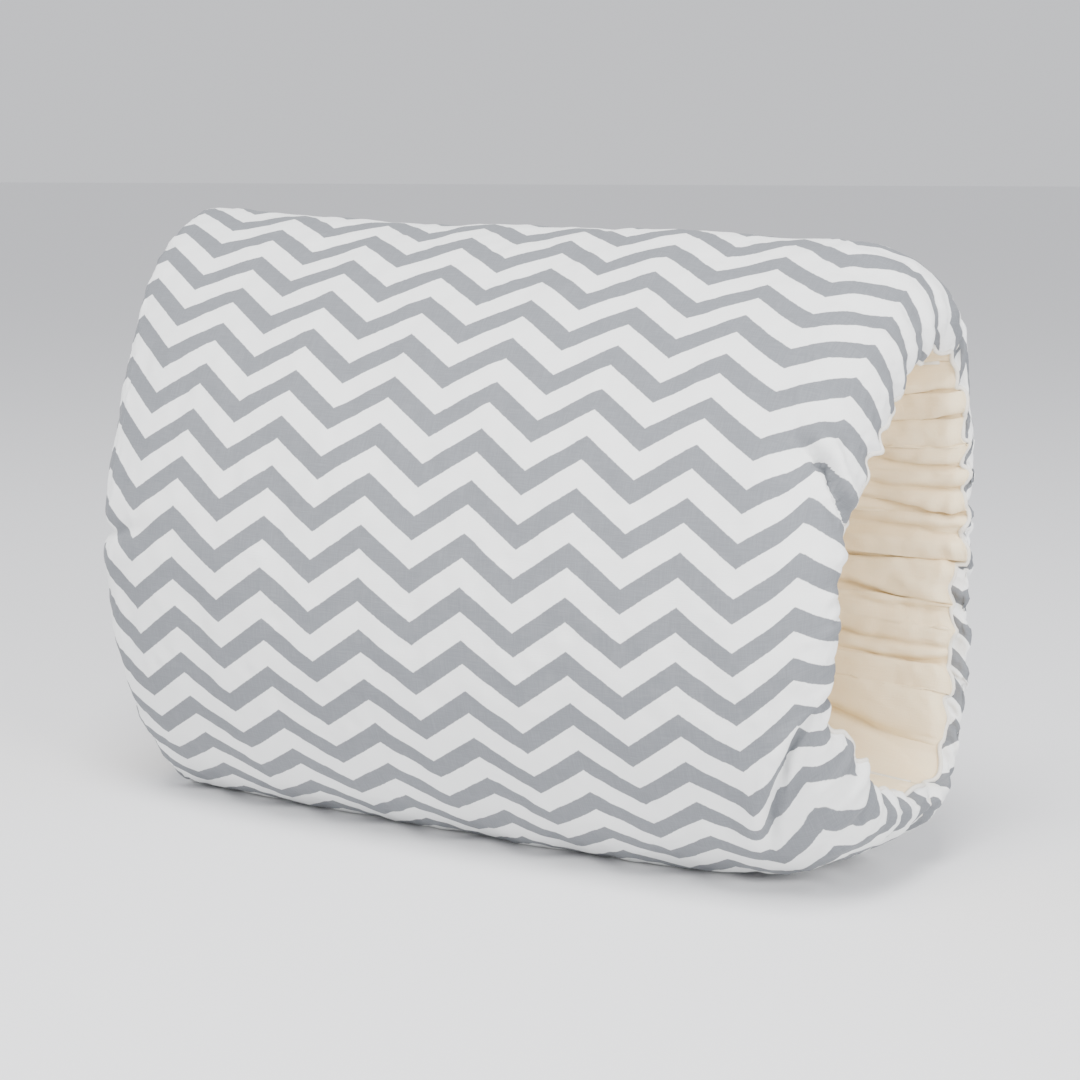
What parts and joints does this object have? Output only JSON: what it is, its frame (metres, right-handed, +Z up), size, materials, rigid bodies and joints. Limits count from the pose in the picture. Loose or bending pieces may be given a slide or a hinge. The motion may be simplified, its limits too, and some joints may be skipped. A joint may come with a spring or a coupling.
{
  "type": "arm nursing pillow",
  "caption": "Padded cotton muff worn on the forearm to cushion a nursing baby's head: thick front cushion, soft sleeve through it and elastic rims.",
  "frame": {"origin": "middle of the footprint, on the flat base the pillow stands on", "axes": "+X along the sleeve towards its slightly smaller end, -Y towards the thick padded front, +Z up to the ridge"},
  "size_m": [0.289, 0.114, 0.2049],
  "materials": {
    "printed_cotton": "plain weave cotton with a grey and white chevron print",
    "cream_cotton": "soft plain cream cotton",
    "polyester_fibre": "loose white polyester fibre",
    "thread": "overlocked sewing thread and cut seam allowance",
    "elastic_web": "flat knitted elastic"
  },
  "bodies": {
    "root": {"front_cover_panel": "printed_cotton", "back_cover_panel": "printed_cotton", "front_lining_panel": "cream_cotton", "back_lining_panel": "cream_cotton", "front_cushion_fill": "polyester_fibre", "back_wadding": "polyester_fibre", "cover_top_seam": "thread", "cover_bottom_seam": "thread", "lining_top_seam": "thread", "lining_bottom_seam": "thread", "left_rim_seam": "thread", "right_rim_seam": "thread", "left_rim_elastic": "elastic_web", "right_rim_elastic": "elastic_web"}
  },
  "joints": []
}
